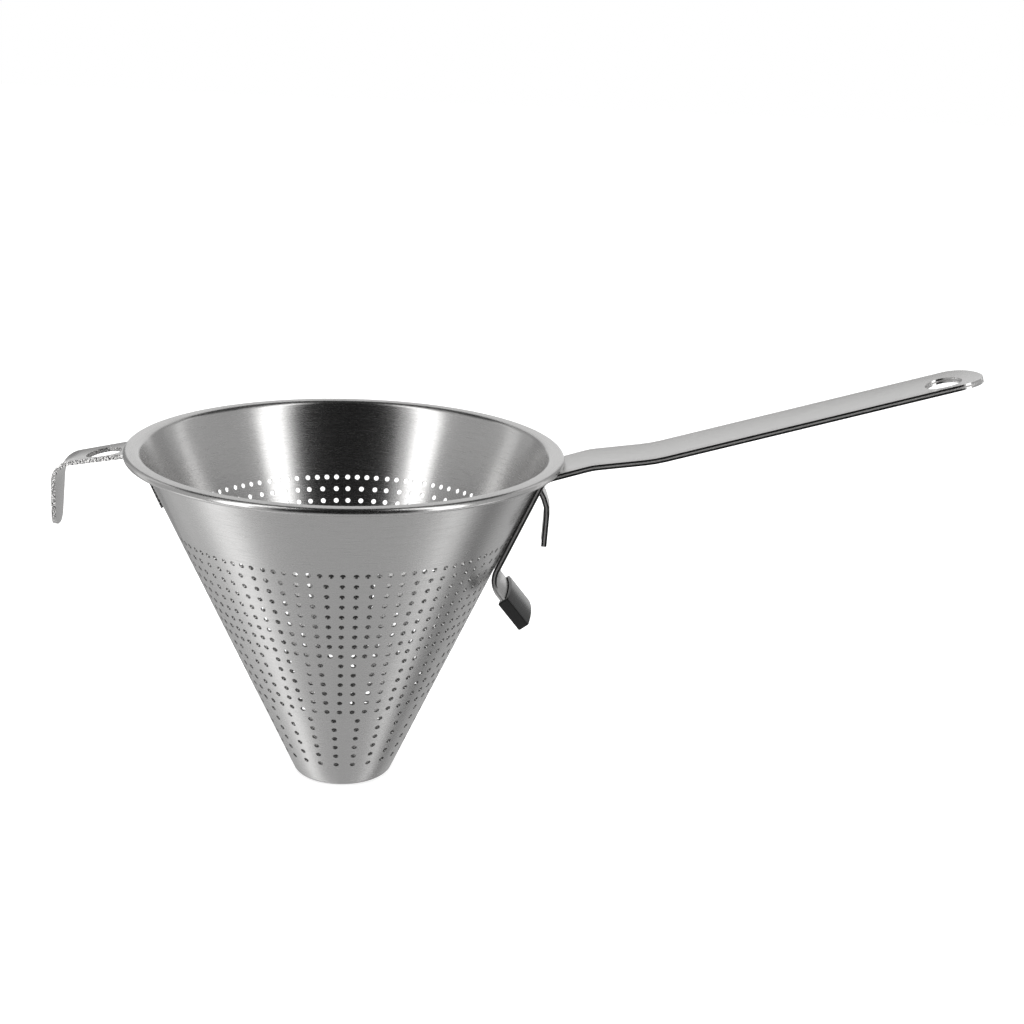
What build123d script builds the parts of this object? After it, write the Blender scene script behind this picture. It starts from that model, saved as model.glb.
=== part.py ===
"""Conical strainer with a perforated bowl, a strap handle with a pot rest, and a front hook.

Lengths are in millimetres. The origin is the centre of the underside of the closed tip, +Z runs up
the axis of the bowl, the handle points along +X and the front hook along -X.
"""

import os
from math import asin, atan, cos, degrees, radians, sin, sqrt, tan

from build123d import *

os.makedirs("parts", exist_ok=True)

# Bowl: one drawn sheet with a flat turned rim, a closed tip and rows of punched holes. The holes of
# each column are drawn as a few upright slots of their width, to keep the number of facets low.
bowl_height = 159.0
rim_radius = 100.0
flange_width = 6.0
tip_radius = 22.8
bowl_wall = 0.8
tip_corner_radius = 2.7
mouth_bend_radius = 3.0
rim_roll_radius = 1.7
rim_roll_turn = 215.0
rim_roll_sides = 5
mouth_bend_sides = 2
tip_bend_sides = 1
hole_diameter = 2.2
hole_columns = 24
slot_rows = 3
slot_land = 10.0
top_land = 35.0
bottom_land = 14.0

# Strap section, shared by the handle and the hook: hollow on the face that lies on the bowl
hollow_radius = 80.0
weld_gap = 0.4
rim_clearance = 0.3

# Handle: one strap from the hanging end, under the rim, down the bowl and out into the pot rest.
# Its starts and length run outwards from the rim, and its depths run down from the mouth.
handle_width = 30.0
handle_thickness = 2.5
handle_length = 185.5
handle_end_radius = 14.6
hanging_hole_diameter = 16.5
hanging_hole_margin = 17.4
grip_angle = 16.6
grip_start = 40.4
grip_bend_radius = 70.0
step_angle = 8.5
step_start = 12.4
step_bend_radius = 30.0
root_angle = 17.7
root_bend_radius = 9.0
rest_bend_depth = 58.1
rest_bend_radius = 11.0
rest_angle = 39.5
rest_length = 24.0

# Tongue: cut out of the strap and bent outwards, so that a pot's wall fits behind it
tongue_width = 13.0
tongue_slot = 1.2
tongue_root_depth = 14.7
tongue_root_radius = 4.5
tongue_lean_angle = 29.7
tongue_knee_depth = 22.2
tongue_knee_radius = 15.0
tongue_draft_angle = 2.6
tongue_tip_depth = 41.8

# Cap: a rubber sleeve pushed over the end of the pot rest
cap_length = 16.2
cap_wall = 1.75
cap_side_wall = 1.0
cap_end_wall = 2.0
cap_corner_radius = 1.5
cap_clearance = 0.1

# Front hook: a tapered strap with a leg that hangs over the far side of a pot, measured from the
# rim and the mouth like the handle
hook_width = 27.6
hook_thickness = 2.1
hook_taper = 0.115
hook_slope_angle = 10.2
hook_length = 33.0
hook_bend_radius = 11.0
hook_lean_angle = 3.8
hook_leg_depth = 42.0
hook_tip_radius = 5.0
hook_root_radius = 5.0
hook_tab_depth = 28.4
hook_hole_diameter = 16.5
hook_hole_start = 11.3

# One overrun serves every cut
overrun = 5.0

# Values worked out from the sizes above
mouth_radius = rim_radius - flange_width
cone_slope = (mouth_radius - tip_radius) / bowl_height
half_angle = degrees(atan(cone_slope))
wall_across = bowl_wall / cos(radians(half_angle))


def cone_radius(height: float) -> float:
    """Outer radius of the bowl's straight side at a height."""
    return tip_radius + cone_slope * height


def hollow_depth(width: float) -> float:
    """Depth of the strap's hollow face at its middle, below its two edges."""
    return hollow_radius - sqrt(hollow_radius**2 - (width / 2) ** 2)


def heading(angle: float) -> Vector:
    """Unit vector in the XZ plane, its angle measured up from +X."""
    return Vector(cos(radians(angle)), 0, sin(radians(angle)))


def meet(start: Vector, start_angle: float, end: Vector, end_angle: float) -> Vector:
    """Corner in the XZ plane where a line through each point crosses the other."""
    along, across = heading(start_angle), heading(end_angle)
    gap = end - start
    turn = along.X * across.Z - along.Z * across.X
    return start + along * ((gap.X * across.Z - gap.Z * across.X) / turn)


def arc_points(
    centre: tuple[float, float], radius: float, start: float, turn: float, sides: int
) -> list[tuple[float, float]]:
    """Corners of an arc drawn as straight sides, from its start angle through its turn."""
    angles = [radians(start + turn * corner / sides) for corner in range(sides + 1)]
    return [(centre[0] + radius * cos(angle), centre[1] + radius * sin(angle)) for angle in angles]


def bend_points(
    corner: tuple[float, float], arrive: float, leave: float, radius: float, sides: int
) -> list[tuple[float, float]]:
    """Corners of a bend that rounds a corner between two directions, drawn as straight sides."""
    turn = leave - arrive
    left = 1 if turn > 0 else -1
    back = radius * tan(radians(abs(turn) / 2))
    along = radians(arrive)
    centre = (
        corner[0] - back * cos(along) - left * radius * sin(along),
        corner[1] - back * sin(along) + left * radius * cos(along),
    )
    return arc_points(centre, radius, arrive - left * 90, turn, sides)


def strap_section(width: float, thickness: float, inner_radius: float) -> None:
    """Draw a curved strap section, hollow side up, with the crown of that side at the origin."""
    centre = (0, inner_radius)
    outer_radius = inner_radius + thickness
    inner_spread = degrees(asin(width / 2 / inner_radius))
    outer_spread = degrees(asin(width / 2 / outer_radius))
    with BuildLine() as outline:
        inner = CenterArc(centre, inner_radius, -90 - inner_spread, 2 * inner_spread)
        outer = CenterArc(centre, outer_radius, -90 - outer_spread, 2 * outer_spread)
        Line(inner @ 0, outer @ 0)
        Line(inner @ 1, outer @ 1)
    make_face(outline.edges())


def section_plane(point: Vector, angle: float) -> Plane:
    """Plane across a strap's path, with the strap's hollow side towards +Y of the plane."""
    return Plane(origin=point, x_dir=(0, -1, 0), z_dir=heading(angle))


# Bowl: its bends and its rolled rim are drawn as straight sides, to keep the number of facets low
side_angle = 90 - half_angle
tip_corner = (cone_radius(bowl_wall) - wall_across, bowl_wall)
tip_bend = bend_points(tip_corner, 0, side_angle, tip_corner_radius - bowl_wall, tip_bend_sides)
mouth_corner = (mouth_radius - wall_across, bowl_height)
mouth_bend = bend_points(mouth_corner, side_angle, 0, mouth_bend_radius, mouth_bend_sides)
roll_centre = (rim_radius - rim_roll_radius, bowl_height - rim_roll_radius)
rim_roll = arc_points(roll_centre, rim_roll_radius, 90, -rim_roll_turn, rim_roll_sides)
slot_pitch = (bowl_height - top_land - bottom_land + slot_land) / slot_rows
slot_height = slot_pitch - slot_land
with BuildPart() as strainer_body:
    with BuildSketch(Plane.XZ):
        with BuildLine():
            Polyline((0, bowl_wall), *tip_bend, *mouth_bend, *rim_roll)
            offset(amount=bowl_wall, side=Side.RIGHT, kind=Kind.INTERSECTION)
        make_face()
    revolve(axis=Axis.Z)
    # Slots
    for row in range(slot_rows):
        slot_foot = bottom_land + slot_pitch * row
        slot_reach = cone_radius(slot_foot + slot_height / 2)
        slot_turn = degrees(hole_diameter / slot_reach)
        with BuildPart(mode=Mode.PRIVATE) as slot:
            with BuildSketch(Plane.XZ):
                with Locations((slot_reach, slot_foot)):
                    Rectangle(slot_height, slot_height, align=(Align.CENTER, Align.MIN))
            revolve(axis=Axis.Z, revolution_arc=slot_turn)
        with PolarLocations(0, hole_columns, start_angle=-slot_turn / 2):
            add(slot.part, mode=Mode.SUBTRACT)

strainer_body.part.label = "strainer_body"
export_step(strainer_body.part, "parts/strainer_body.step")

# Handle
seat_offset = weld_gap / cos(radians(half_angle))
seat = Vector(cone_radius(0) + seat_offset, 0, 0)
under_rim = bowl_height - 2 * rim_roll_radius - rim_clearance

handle_hollow = hollow_depth(handle_width)
handle_root = Vector(rim_radius, 0, under_rim - handle_hollow / cos(radians(root_angle)))
step_corner = handle_root + Vector(1, 0, tan(radians(root_angle))) * step_start
grip_corner = step_corner + Vector(1, 0, tan(radians(step_angle))) * (grip_start - step_start)
handle_tip = grip_corner + Vector(1, 0, tan(radians(grip_angle))) * (handle_length - grip_start)
root_corner = meet(handle_root, root_angle, seat, side_angle)
rest_corner = seat + Vector(cone_slope, 0, 1) * (bowl_height - rest_bend_depth)
rest_heading = rest_angle - 90
rest_tip = rest_corner + heading(rest_heading) * rest_length

tongue_root = seat + Vector(cone_slope, 0, 1) * (bowl_height - tongue_root_depth)
tongue_drop = tongue_knee_depth - tongue_root_depth
tongue_knee = tongue_root + Vector(tan(radians(tongue_lean_angle)), 0, -1) * tongue_drop
tongue_fall = tongue_tip_depth - tongue_knee_depth
tongue_tip = tongue_knee - Vector(tan(radians(tongue_draft_angle)), 0, 1) * tongue_fall
tongue_length = tongue_drop / cos(radians(tongue_lean_angle)) + tongue_fall / cos(radians(tongue_draft_angle))
tongue_start = tongue_root + heading(side_angle) * (tongue_length / 2)
window_height = tongue_length * sin(radians(side_angle))
window_middle = bowl_height - tongue_root_depth - window_height / 2
with BuildPart() as handle:
    with BuildLine() as handle_path:
        FilletPolyline(
            handle_tip,
            grip_corner,
            step_corner,
            root_corner,
            rest_corner,
            rest_tip,
            radius=[grip_bend_radius, step_bend_radius, root_bend_radius, rest_bend_radius],
        )
    with BuildSketch(section_plane(handle_tip, grip_angle + 180)):
        strap_section(handle_width, handle_thickness, hollow_radius)
    sweep(path=handle_path.line)
    # Rounded end and hanging hole
    with BuildSketch(Plane(handle_tip, x_dir=heading(grip_angle), z_dir=heading(grip_angle + 90))):
        with Locations((-handle_end_radius / 2, 0)):
            Rectangle(handle_end_radius, handle_width + overrun)
        with Locations((-handle_end_radius, 0)):
            Circle(handle_end_radius, mode=Mode.SUBTRACT)
        with Locations((-hanging_hole_margin, 0)):
            Circle(hanging_hole_diameter / 2)
    extrude(amount=overrun, both=True, mode=Mode.SUBTRACT)
    # Window that the tongue is cut from
    with BuildSketch(Plane.YZ.offset(cone_radius(window_middle))):
        with Locations((0, window_middle)):
            Rectangle(tongue_width + 2 * tongue_slot, window_height)
    extrude(amount=window_height / 2, both=True, mode=Mode.SUBTRACT)
    # Tongue
    with BuildLine() as tongue_path:
        FilletPolyline(
            tongue_start,
            tongue_root,
            tongue_knee,
            tongue_tip,
            radius=[tongue_root_radius, tongue_knee_radius],
        )
    with BuildSketch(section_plane(tongue_start, side_angle + 180)):
        strap_section(tongue_width, handle_thickness, hollow_radius)
    sweep(path=tongue_path.line)

handle.part.label = "handle"
export_step(handle.part, "parts/handle.step")

# Cap on the end of the pot rest
cap_end = rest_tip + heading(rest_heading) * (cap_end_wall + cap_clearance)
cap_start = cap_end - heading(rest_heading) * cap_length
cap_side = heading(rest_heading - 90)
with BuildPart() as rest_cap:
    with BuildSketch(section_plane(cap_start + cap_side * cap_wall, rest_heading)) as cap_outline:
        strap_section(
            handle_width + 2 * cap_side_wall,
            handle_thickness + 2 * cap_wall,
            hollow_radius - cap_wall,
        )
        fillet(cap_outline.vertices(), cap_corner_radius)
    extrude(amount=cap_length)
    end_face = rest_cap.faces().sort_by(Axis(cap_start, heading(rest_heading)))[-1]
    chamfer(end_face.edges(), cap_corner_radius / 2)
    with BuildSketch(section_plane(cap_start + cap_side * cap_clearance, rest_heading)):
        strap_section(
            handle_width + 2 * cap_clearance,
            handle_thickness + 2 * cap_clearance,
            hollow_radius - cap_clearance,
        )
    extrude(amount=cap_length - cap_end_wall, mode=Mode.SUBTRACT)

rest_cap.part.label = "rest_cap"
export_step(rest_cap.part, "parts/rest_cap.step")

# Front hook
tab_heading = 90 + half_angle
arm_heading = 180 + hook_slope_angle
hook_hollow = hollow_depth(hook_width)
hook_root_reach = rim_radius - 2 * rim_roll_radius
hook_root = Vector(-hook_root_reach, 0, under_rim - hook_hollow / cos(radians(hook_slope_angle)))
hook_fall = Vector(-1, 0, -tan(radians(hook_slope_angle)))
hook_corner = hook_root + hook_fall * (hook_length + rim_radius - hook_root_reach)
hook_hole = hook_root + hook_fall * (hook_hole_start + rim_radius - hook_root_reach)
leg_drop = hook_corner.Z - bowl_height + hook_leg_depth
hook_seat = Vector(-seat.X, 0, 0)
hook_root_corner = meet(hook_root, arm_heading, hook_seat, tab_heading)
with BuildPart() as front_hook:
    with BuildLine() as hook_path:
        FilletPolyline(
            hook_seat + Vector(-cone_slope, 0, 1) * (bowl_height - hook_tab_depth),
            hook_root_corner,
            hook_corner,
            hook_corner + Vector(-tan(radians(hook_lean_angle)), 0, -1) * leg_drop,
            radius=[hook_root_radius, hook_bend_radius],
        )
    with BuildSketch(section_plane(hook_path.line @ 0, tab_heading)):
        strap_section(hook_width, hook_thickness, hollow_radius)
    sweep(path=hook_path.line)
    # Tapered sides
    for side in (1, -1):
        taper_start = hook_root + Vector(0, side * hook_width / 2, 0)
        taper_normal = Vector(-hook_taper, side, -hook_taper)
        split(bisect_by=Plane(taper_start, z_dir=taper_normal), keep=Keep.BOTTOM)
    tip_face = front_hook.faces().sort_by(Axis.Z)[0]
    fillet(tip_face.edges().filter_by(GeomType.LINE), hook_tip_radius)
    with BuildSketch(Plane(hook_hole, x_dir=(0, 1, 0), z_dir=heading(arm_heading - 90))):
        Circle(hook_hole_diameter / 2)
    extrude(amount=overrun, both=True, mode=Mode.SUBTRACT)

front_hook.part.label = "front_hook"
export_step(front_hook.part, "parts/front_hook.step")
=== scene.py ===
"""Looks for the conical strainer: punched bowl, bent strap handle, rubber cap and front hook.

Lengths in the classes are in millimetres and become metres when a mesh is finished. The pieces
share the frame of the solids: the origin is the centre of the underside of the closed tip, +Z runs
up the bowl's axis and +X runs out along the handle.
"""

import logging
import math
from dataclasses import dataclass
from enum import Enum

import bmesh
import bpy
from mathutils import Matrix, Vector


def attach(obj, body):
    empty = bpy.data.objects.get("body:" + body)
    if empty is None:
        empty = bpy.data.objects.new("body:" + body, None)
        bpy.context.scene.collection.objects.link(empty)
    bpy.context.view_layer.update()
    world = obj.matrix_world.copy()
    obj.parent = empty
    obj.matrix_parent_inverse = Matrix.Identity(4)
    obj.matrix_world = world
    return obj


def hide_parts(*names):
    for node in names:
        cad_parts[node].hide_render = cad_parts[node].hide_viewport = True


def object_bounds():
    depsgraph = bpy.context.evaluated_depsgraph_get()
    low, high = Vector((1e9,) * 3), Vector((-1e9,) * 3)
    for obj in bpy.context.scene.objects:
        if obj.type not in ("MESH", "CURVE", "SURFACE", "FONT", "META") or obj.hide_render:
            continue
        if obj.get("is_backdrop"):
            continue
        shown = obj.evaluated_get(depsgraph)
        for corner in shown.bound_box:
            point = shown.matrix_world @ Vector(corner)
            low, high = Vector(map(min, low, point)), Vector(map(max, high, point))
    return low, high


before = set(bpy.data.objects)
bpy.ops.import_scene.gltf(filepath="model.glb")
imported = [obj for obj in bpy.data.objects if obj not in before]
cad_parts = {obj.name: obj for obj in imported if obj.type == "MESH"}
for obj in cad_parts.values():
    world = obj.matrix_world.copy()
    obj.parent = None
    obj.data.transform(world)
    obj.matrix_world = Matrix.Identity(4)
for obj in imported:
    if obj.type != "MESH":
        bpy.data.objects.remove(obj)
CAD_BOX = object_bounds()

LOG = logging.getLogger("strainer")
MM = 0.001
MERGE_DISTANCE = 0.002
DEPTH = "sheet_depth"
SHARP_TURN = math.radians(60)
WHITE = (1, 1, 1, 1)

Point = tuple[float, float]


class Slot(Enum):
    """Material slots of the record, listed beside each piece; no piece is given one."""

    BOWL = "bowl_steel"
    STRAP = "strap_steel"
    CAP = "cap_rubber"


def unit(angle: float) -> Vector:
    """Unit vector in a plane, its angle in degrees from the first axis."""
    return Vector((math.cos(math.radians(angle)), math.sin(math.radians(angle))))


class SheetPath:
    """A line through corners rounded by bends, as the middle line of bent sheet is drawn.

    Each piece of the path is a straight run or an arc, kept with its length, so that a flat blank
    can be laid along it.
    """

    def __init__(self, corners: list[Point], radii: list[float]) -> None:
        """Builds the path.

        Args:
            corners: Corner points from one end to the other.
            radii: Bend radius at each corner between the two ends.
        """
        self.pieces: list[tuple[str, Vector, Vector, float, float, float]] = []
        points = [Vector(corner) for corner in corners]
        here = points[0]
        for index, radius in enumerate(radii, start=1):
            corner = points[index]
            arrive = (corner - points[index - 1]).normalized()
            leave = (points[index + 1] - corner).normalized()
            turn = math.atan2(arrive.x * leave.y - arrive.y * leave.x, arrive.dot(leave))
            back = radius * math.tan(abs(turn) / 2)
            start = corner - arrive * back
            self.add_run(here, start)
            side = math.copysign(1.0, turn)
            centre = start + Vector((-arrive.y, arrive.x)) * side * radius
            self.add_arc(centre, radius, math.atan2(start.y - centre.y, start.x - centre.x), turn)
            here = corner + leave * back
        self.add_run(here, points[-1])

    @property
    def length(self) -> float:
        """Length of the whole path."""
        return sum(piece[5] for piece in self.pieces)

    def add_run(self, start: Vector, end: Vector) -> None:
        """Adds a straight run between two points."""
        self.pieces.append(("run", start, end, 0.0, 0.0, (end - start).length))

    def add_arc(self, centre: Vector, radius: float, start: float, turn: float) -> None:
        """Adds an arc.

        Args:
            centre: Centre of the arc.
            radius: Radius of the arc.
            start: Angle of its first point, in radians.
            turn: Angle that it turns through, positive anticlockwise, in radians.
        """
        self.pieces.append(("arc", centre, Vector((radius, 0)), start, turn, radius * abs(turn)))

    def at(self, distance: float) -> tuple[Vector, Vector]:
        """Gives the point and the direction at a distance along the path.

        Args:
            distance: Distance from the path's start. Past either end the path runs on straight.

        Returns:
            The point and the unit direction there.
        """
        left = distance
        for index, (kind, first, second, start, turn, length) in enumerate(self.pieces):
            if left > length and index < len(self.pieces) - 1:
                left -= length
                continue
            if kind == "run":
                direction = (second - first).normalized()
                return first + direction * left, direction
            angle = start + math.copysign(left / second.x, turn)
            outward = Vector((math.cos(angle), math.sin(angle)))
            direction = Vector((-outward.y, outward.x)) * math.copysign(1.0, turn)
            return first + outward * second.x, direction
        raise ValueError("the path has no pieces")

    def marks(self, widest: float, turn_step: float = 9.0) -> list[float]:
        """Gives the distances at which a mesh laid on the path needs a row.

        Args:
            widest: Widest gap between two rows on a straight run.
            turn_step: Largest turn between two rows in a bend, in degrees.

        Returns:
            Distances along the path, from its start to its end.
        """
        found = [0.0]
        for kind, _, _, _, turn, length in self.pieces:
            if length < 1e-9:
                continue
            if kind == "run":
                count = max(1, math.ceil(length / widest))
            else:
                count = max(2, math.ceil(abs(math.degrees(turn)) / turn_step))
            begin = found[-1]
            found += [begin + length * step / count for step in range(1, count + 1)]
        return found


def with_marks(found: list[float], wanted: list[float], nearest: float) -> list[float]:
    """Puts wanted rows among the found ones and drops found rows that stand too near them."""
    kept = [mark for mark in found if all(abs(mark - want) > nearest for want in wanted)]
    return sorted(kept + wanted)


def to_scene(name: str, data: bpy.types.ID) -> bpy.types.Object:
    """Adds an object with its data to the scene.

    Args:
        name: Name of the object.
        data: Its mesh, light or camera.

    Returns:
        The new object.
    """
    made = bpy.data.objects.new(name, data)
    bpy.context.scene.collection.objects.link(made)
    return made


def to_object(bm: bmesh.types.BMesh, name: str) -> bpy.types.Object:
    """Turns a bmesh in millimetres into an object in metres at the origin.

    Args:
        bm: The finished bmesh. It is freed.
        name: Name of the object.

    Returns:
        The new object.
    """
    bmesh.ops.scale(bm, vec=Vector((MM, MM, MM)), verts=bm.verts)
    mesh = bpy.data.meshes.new(name)
    bm.to_mesh(mesh)
    bm.free()
    return to_scene(name, mesh)


def new_verts(grown: list) -> list[bmesh.types.BMVert]:
    """Picks the vertices out of the geometry that an extrusion gives."""
    return [part for part in grown if isinstance(part, bmesh.types.BMVert)]


def second_side(bm: bmesh.types.BMesh) -> list[bmesh.types.BMVert]:
    """Extrudes a flat sheet and gives the vertices of its second side."""
    grown = bmesh.ops.extrude_face_region(bm, geom=bm.faces[:], use_keep_orig=True)
    return new_verts(grown["geom"])


def round_edges(
    bm: bmesh.types.BMesh, edges: list[bmesh.types.BMEdge], offset: float, segments: int
) -> None:
    """Bevels edges to a round.

    Args:
        bm: The mesh.
        edges: Edges to round.
        offset: Width of the round on each side of an edge.
        segments: Number of faces across the round.
    """
    bmesh.ops.bevel(
        bm,
        geom=edges,
        offset=offset,
        offset_type="OFFSET",
        segments=segments,
        profile=0.5,
        affect="EDGES",
        clamp_overlap=True,
        material=-1,
    )


def spin_round(
    bm: bmesh.types.BMesh, geom: list[bmesh.types.BMVert], angle: float, steps: int, **joined: bool
) -> None:
    """Spins geometry round the bowl's axis.

    Args:
        bm: The mesh.
        geom: Vertices, edges and faces to spin.
        angle: Whole turn, in radians.
        steps: Number of steps in the turn.
        joined: The spin's own choices on copies and merging.
    """
    still = (0, 0, 0)
    bmesh.ops.spin(
        bm, geom=geom, cent=still, axis=(0, 0, 1), dvec=still, angle=angle, steps=steps, **joined
    )


def smooth(made: bpy.types.Object, angle: float = 35.0, weighted: bool = True) -> None:
    """Shades an object smooth, apart from its sharp edges.

    Args:
        made: The object.
        angle: Turn between two faces, in degrees, past which their edge is sharp.
        weighted: Whether large faces lead the shading of their corners.
    """
    made.data.shade_smooth()
    made.data.set_sharp_from_angle(angle=math.radians(angle))
    if weighted:
        modifier = made.modifiers.new("even shading", "WEIGHTED_NORMAL")
        modifier.keep_sharp = True


@dataclass
class Bowl:
    """The drawn bowl: a cone with a closed tip, punched holes, a flat flange and a rolled rim."""

    height: float = 159.0
    rim_radius: float = 100.0
    mouth_radius: float = 94.0
    tip_radius: float = 22.8
    wall: float = 0.8
    tip_bend: float = 1.9
    mouth_bend: float = 3.0
    roll_radius: float = 1.7
    roll_turn: float = 215.0
    sectors: int = 24
    steps_per_sector: int = 12
    widest_row: float = 6.0
    nearest_row: float = 0.5
    turn_step: float = 12.0
    first_row: float = 36.1
    row_pitch: float = 6.0
    hole_radius: float = 1.25
    hole_sides: int = 16
    row_plan: tuple[tuple[int, int, float, float], ...] = (
        (1, 4, 0.24, 0.24),
        (8, 3, 0.35, 0.31),
        (6, 2, 0.62, 0.50),
        (6, 1, 0.0, 0.0),
    )

    @property
    def slope(self) -> float:
        """Growth of the radius for each millimetre of height."""
        return (self.mouth_radius - self.tip_radius) / self.height

    @property
    def half_angle(self) -> float:
        """Half of the cone's angle, in radians."""
        return math.atan(self.slope)

    @property
    def apex(self) -> float:
        """Height of the point where the outer side would meet the axis."""
        return -self.tip_radius / self.slope

    def outer_radius(self, height: float) -> float:
        """Radius of the outer side at a height."""
        return self.tip_radius + self.slope * height

    def rows(self) -> list[tuple[float, int, float]]:
        """Lists the rows of holes from the top down.

        Returns:
            Each row's height on the outer side, its holes in a sector and their gap in degrees.
        """
        sector = 360.0 / self.sectors
        found = []
        for rows, holes, first, last in self.row_plan:
            for step in range(rows):
                share = first + (last - first) * (step / (rows - 1) if rows > 1 else 0)
                depth = self.first_row + len(found) * self.row_pitch * math.cos(self.half_angle)
                found.append((self.height - depth, holes, sector * share))
        return found

    def blank_point(self, angle: float, height: float) -> Vector:
        """Place of a point of the outer side on the flat blank.

        Args:
            angle: Angle round the axis, in radians.
            height: Height of the point.

        Returns:
            Its place in the blank's plane, with the cone's apex at the plane's origin.
        """
        reach = (height - self.apex) / math.cos(self.half_angle)
        spread = angle * math.sin(self.half_angle)
        return Vector((reach * math.cos(spread), reach * math.sin(spread), 0))

    def place(self, vert: bmesh.types.BMVert, depth: float) -> None:
        """Moves one vertex from the blank to the cone.

        Args:
            vert: The vertex.
            depth: Its depth under the outer side.
        """
        reach = math.hypot(vert.co.x, vert.co.y)
        angle = math.atan2(vert.co.y, vert.co.x) / math.sin(self.half_angle)
        radius = reach * math.sin(self.half_angle) - depth * math.cos(self.half_angle)
        height = self.apex + reach * math.cos(self.half_angle) + depth * math.sin(self.half_angle)
        vert.co = Vector((radius * math.cos(angle), radius * math.sin(angle), height))

    def punched_band(self, low: float, high: float) -> bmesh.types.BMesh:
        """Makes the punched part of the wall between two heights.

        Args:
            low: Height of the band's lower edge on the outer side.
            high: Height of its upper edge.

        Returns:
            A bmesh of both faces of the band and the walls of its holes.
        """
        bm = bmesh.new()
        edge_mark = bm.verts.layers.int.new("edge")
        half = math.pi / self.sectors
        steps = self.steps_per_sector
        rows = self.rows()
        side_heights = [low] + [height for height, _, _ in reversed(rows)] + [high]
        outline = [self.blank_point(-half + 2 * half * step / steps, low) for step in range(steps)]
        outline += [self.blank_point(half, height) for height in side_heights[:-1]]
        outline += [self.blank_point(half - 2 * half * step / steps, high) for step in range(steps)]
        outline += [self.blank_point(-half, height) for height in reversed(side_heights[1:])]
        corners = [bm.verts.new(point) for point in outline]
        for vert in corners:
            vert[edge_mark] = 1
        for index, vert in enumerate(corners):
            bm.edges.new((vert, corners[(index + 1) % len(corners)]))
        for height, holes, gap in rows:
            for hole in range(holes):
                angle = math.radians((hole - (holes - 1) / 2) * gap)
                centre = self.blank_point(angle, height)
                bmesh.ops.create_circle(
                    bm,
                    cap_ends=False,
                    segments=self.hole_sides,
                    radius=self.hole_radius,
                    matrix=Matrix.Translation(centre),
                )
        bmesh.ops.triangle_fill(
            bm, use_beauty=True, use_dissolve=False, edges=bm.edges[:], normal=(0, 0, 1)
        )
        inner_set = set(second_side(bm))
        for vert in bm.verts:
            self.place(vert, self.wall if vert in inner_set else 0.0)
        walls = []
        for face in bm.faces:
            sides = sum(vert in inner_set for vert in face.verts)
            if 0 < sides < len(face.verts) and all(vert[edge_mark] for vert in face.verts):
                walls.append(face)
        bmesh.ops.delete(bm, geom=walls, context="FACES_ONLY")
        others = self.sectors - 1
        whole = bm.verts[:] + bm.edges[:] + bm.faces[:]
        spin_round(bm, whole, -2 * math.pi * others / self.sectors, others, use_duplicate=True)
        return bm

    def wall_path(self) -> SheetPath:
        """Draws the inner side of the wall.

        Returns:
            The path, from the middle of the tip to the end of the rolled rim.
        """
        across = self.wall / math.cos(self.half_angle)
        roll_centre = Vector((self.rim_radius - self.roll_radius, self.height - self.roll_radius))
        path = SheetPath(
            [
                (0.0, self.wall),
                (self.outer_radius(self.wall) - across, self.wall),
                (self.mouth_radius - across, self.height),
                (roll_centre.x, self.height),
            ],
            [self.tip_bend, self.mouth_bend],
        )
        path.add_arc(roll_centre, self.roll_radius, math.pi / 2, -math.radians(self.roll_turn))
        return path

    def lathe(self, marks: list[float], path: SheetPath, closed_end: bool) -> bpy.types.Mesh:
        """Spins both sides of a stretch of the wall round the axis.

        Args:
            marks: Distances along the path of the stretch's rows.
            path: The inner side of the wall.
            closed_end: Whether the two sides are joined at the last mark.

        Returns:
            A mesh of the stretch, in millimetres.
        """
        bm = bmesh.new()
        sides: list[list[Vector]] = [[], []]
        for mark in marks:
            point, direction = path.at(mark)
            outward = Vector((direction.y, -direction.x))
            for side, depth in zip(sides, (0.0, self.wall)):
                place = point + outward * depth
                side.append(Vector((max(place.x, 0.0), 0, place.y)))
        chains = [sides[0], sides[1]]
        if closed_end:
            chains = [sides[0] + sides[1][::-1]]
        for chain in chains:
            verts = [bm.verts.new(point) for point in chain]
            edges = [bm.edges.new(pair) for pair in zip(verts, verts[1:])]
            steps = self.sectors * self.steps_per_sector
            spin_round(bm, verts + edges, 2 * math.pi, steps, use_merge=True)
        spun = bpy.data.meshes.new("spun_wall")
        bm.to_mesh(spun)
        bm.free()
        return spun

    def build(self) -> bpy.types.Object:
        """Builds the whole bowl as one closed mesh with even shading on its cone.

        Returns:
            The bowl.
        """
        rows = self.rows()
        high = rows[0][0] + self.row_pitch / 2
        low = rows[-1][0] - self.row_pitch / 2
        bm = self.punched_band(low, high)
        path = self.wall_path()
        along = []
        for height in (low, high):
            inner_height = height + self.wall * math.sin(self.half_angle)
            start = path.pieces[2][1]
            begin = path.pieces[0][5] + path.pieces[1][5]
            along.append(begin + (inner_height - start.y) / math.cos(self.half_angle))
        marks = path.marks(self.widest_row, self.turn_step)
        below = [mark for mark in marks if mark < along[0] - self.nearest_row] + [along[0]]
        above = [along[1]] + [mark for mark in marks if mark > along[1] + self.nearest_row]
        for stretch, closed_end in ((below, False), (above, True)):
            spun = self.lathe(stretch, path, closed_end)
            bm.from_mesh(spun)
            bpy.data.meshes.remove(spun)
        bmesh.ops.remove_doubles(bm, verts=bm.verts, dist=MERGE_DISTANCE)
        bmesh.ops.recalc_face_normals(bm, faces=bm.faces)
        made = to_object(bm, "punched_bowl")
        self.even_shading(made, low, high)
        return made

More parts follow.
